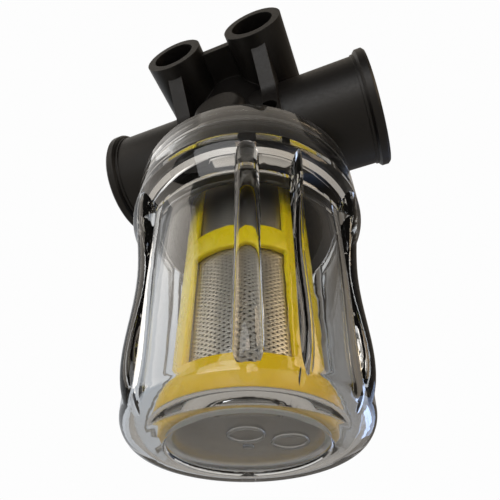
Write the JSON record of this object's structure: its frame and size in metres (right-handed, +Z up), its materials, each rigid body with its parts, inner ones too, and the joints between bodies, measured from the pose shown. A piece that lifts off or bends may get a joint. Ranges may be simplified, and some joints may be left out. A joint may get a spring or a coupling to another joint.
{
  "type": "magnetic system filter",
  "caption": "Inline magnetic system filter: black head with threaded side ports and two fixing tubes, clear ribbed screw-on bowl, yellow mesh cartridge around a magnet rod.",
  "frame": {"origin": "centre of the bowl's flat base, on the bowl axis", "axes": "+Z up along the bowl axis, +X along the port axis towards the outlet, -Y towards the open mouths of the fixing tubes"},
  "size_m": [0.0908, 0.0646, 0.1312],
  "materials": {
    "head_nylon": "satin",
    "clear_polycarbonate": "gloss",
    "yellow_plastic": "gloss",
    "woven_steel_mesh": "woven",
    "stainless_steel": "drawn",
    "brass": "machined",
    "rubber": "matt",
    "magnet_nickel": "plated"
  },
  "bodies": {
    "head": {"head_body": "head_nylon", "inlet_thread_insert": "brass", "inlet_thread_insert_o_ring": "rubber", "outlet_thread_insert": "brass", "outlet_thread_insert_o_ring": "rubber", "fixing_sleeves": "stainless_steel", "bowl_o_ring": "rubber", "magnet_sleeve": "stainless_steel", "magnet_bottom_plug": "stainless_steel", "magnet_top_plug": "stainless_steel", "magnet_discs": "magnet_nickel", "pole_discs": "stainless_steel", "magnet_stem": "stainless_steel", "stem_insert": "brass", "stem_lock_nut": "stainless_steel"},
    "cartridge": {"cartridge_frame": "yellow_plastic", "cartridge_mesh": "woven_steel_mesh", "cartridge_o_ring": "rubber", "cartridge_base_seal": "rubber"},
    "bowl": {"bowl": "clear_polycarbonate"}
  },
  "joints": [
    {"name": "bowl_drop", "type": "slide", "parent": "head", "child": "cartridge", "axis": [0, 0, -1], "range_m": [0, 0.01]},
    {"name": "bowl_turn", "type": "hinge", "parent": "cartridge", "child": "bowl", "pos_m": [0, 0, 0], "axis": [0, 0, -1], "range_deg": [0, 895]}
  ],
  "couplings": [
    {"joint": "bowl_drop", "follows": "bowl_turn", "m_per_rad": 0.00063662}
  ]
}
